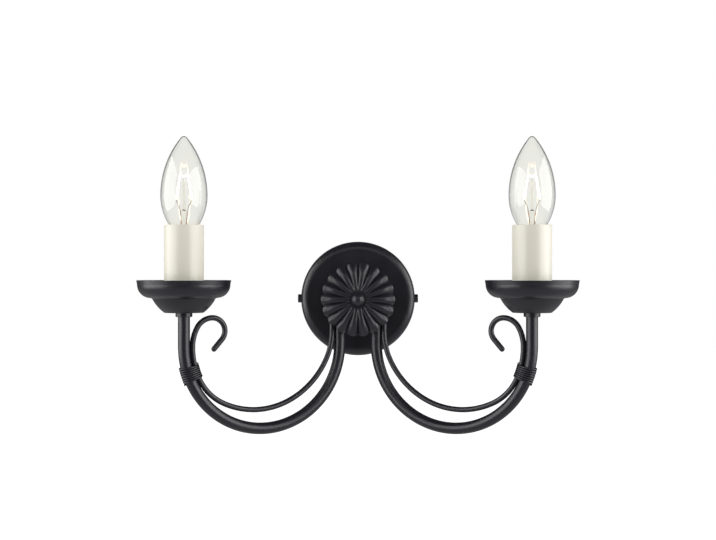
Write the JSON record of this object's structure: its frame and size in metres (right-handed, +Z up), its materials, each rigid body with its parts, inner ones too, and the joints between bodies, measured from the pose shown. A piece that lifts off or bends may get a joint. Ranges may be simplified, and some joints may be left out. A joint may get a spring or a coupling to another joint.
{
  "type": "double arm wall sconce",
  "caption": "Wall light with a round wall plate, fluted rosette, curved tube arms with scrolls, drip pans, candle sleeves and candle bulbs.",
  "frame": {"origin": "centre of the wall plate's open back, on the wall, midway between the bracket's wall slots", "axes": "+Z up, +X to the right for someone who faces the wall, +Y into the wall, so the room is on -Y"},
  "size_m": [0.3316, 0.1253, 0.227],
  "materials": {
    "black_insulator": "glossy",
    "black_metal": "satin powder coat",
    "black_rubber": "matte",
    "blue_insulation": "satin",
    "brown_insulation": "satin",
    "bulb_glass": "clear",
    "filament_glow": "glowing wire",
    "green_insulation": "satin",
    "holder_plastic": "satin",
    "ivory_sleeve": "satin",
    "lead_copper": "drawn wire",
    "nickel_brass": "plated",
    "solder": "dull",
    "stem_glass": "clear",
    "white_nylon": "satin",
    "zinc_steel": "zinc plated"
  },
  "bodies": {
    "root": {"arm_hub": "black_metal", "arm_tube_left": "black_metal", "arm_tube_right": "black_metal", "ball_nut": "black_metal", "centre_contact_left": "nickel_brass", "centre_contact_right": "nickel_brass", "centre_stud": "zinc_steel", "cup_left": "black_metal", "cup_nut_left": "black_metal", "cup_nut_right": "black_metal", "cup_right": "black_metal", "earth_screw": "zinc_steel", "earth_wire": "green_insulation", "holder_body_left": "holder_plastic", "holder_body_right": "holder_plastic", "holder_foot_left": "zinc_steel", "holder_foot_right": "zinc_steel", "live_wire_left": "brown_insulation", "live_wire_right": "brown_insulation", "neutral_wire_left": "blue_insulation", "neutral_wire_right": "blue_insulation", "plate_screws": "black_metal", "rosette": "black_metal", "screw_shell_left": "nickel_brass", "screw_shell_right": "nickel_brass", "scroll_rod_left": "black_metal", "scroll_rod_right": "black_metal", "stud_nut": "zinc_steel", "stud_washer": "zinc_steel", "terminal_block": "white_nylon", "terminal_fixing_screw": "zinc_steel", "terminal_inserts": "nickel_brass", "terminal_screws": "zinc_steel", "wall_bracket": "zinc_steel", "wall_plate": "black_metal", "wire_binding_left": "black_metal", "wire_binding_right": "black_metal", "wire_grommet_left": "black_rubber", "wire_grommet_right": "black_rubber"},
    "sleeve_left": {"candle_sleeve_left": "ivory_sleeve"},
    "bulb_left_carrier": {"bulb_contact_left": "solder"},
    "bulb_left": {"bulb_glass_left": "bulb_glass", "bulb_cap_left": "nickel_brass", "bulb_insulator_left": "black_insulator", "glass_stem_left": "stem_glass", "lead_wires_left": "lead_copper", "filament_left": "filament_glow"},
    "sleeve_right": {"candle_sleeve_right": "ivory_sleeve"},
    "bulb_right_carrier": {"bulb_contact_right": "solder"},
    "bulb_right": {"bulb_glass_right": "bulb_glass", "bulb_cap_right": "nickel_brass", "bulb_insulator_right": "black_insulator", "glass_stem_right": "stem_glass", "lead_wires_right": "lead_copper", "filament_right": "filament_glow"}
  },
  "joints": [
    {"name": "sleeve_left_lift", "type": "slide", "parent": "root", "child": "sleeve_left", "axis": [0, 0, 1], "range_m": [0, 0.002]},
    {"name": "bulb_left_rise", "type": "slide", "parent": "root", "child": "bulb_left_carrier", "axis": [0, 0, 1], "range_m": [0, 0.00847]},
    {"name": "bulb_left_turn", "type": "hinge", "parent": "bulb_left_carrier", "child": "bulb_left", "pos_m": [-0.1305, -0.09, 0.04], "axis": [0, 0, 1], "range_deg": [0, 1080]},
    {"name": "sleeve_right_lift", "type": "slide", "parent": "root", "child": "sleeve_right", "axis": [0, 0, 1], "range_m": [0, 0.002]},
    {"name": "bulb_right_rise", "type": "slide", "parent": "root", "child": "bulb_right_carrier", "axis": [0, 0, 1], "range_m": [0, 0.00847]},
    {"name": "bulb_right_turn", "type": "hinge", "parent": "bulb_right_carrier", "child": "bulb_right", "pos_m": [0.1305, -0.09, 0.04], "axis": [0, 0, 1], "range_deg": [0, 1080]}
  ],
  "couplings": [
    {"joint": "bulb_left_rise", "follows": "bulb_left_turn", "m_per_rad": 0.00044882},
    {"joint": "bulb_right_rise", "follows": "bulb_right_turn", "m_per_rad": 0.00044882}
  ]
}
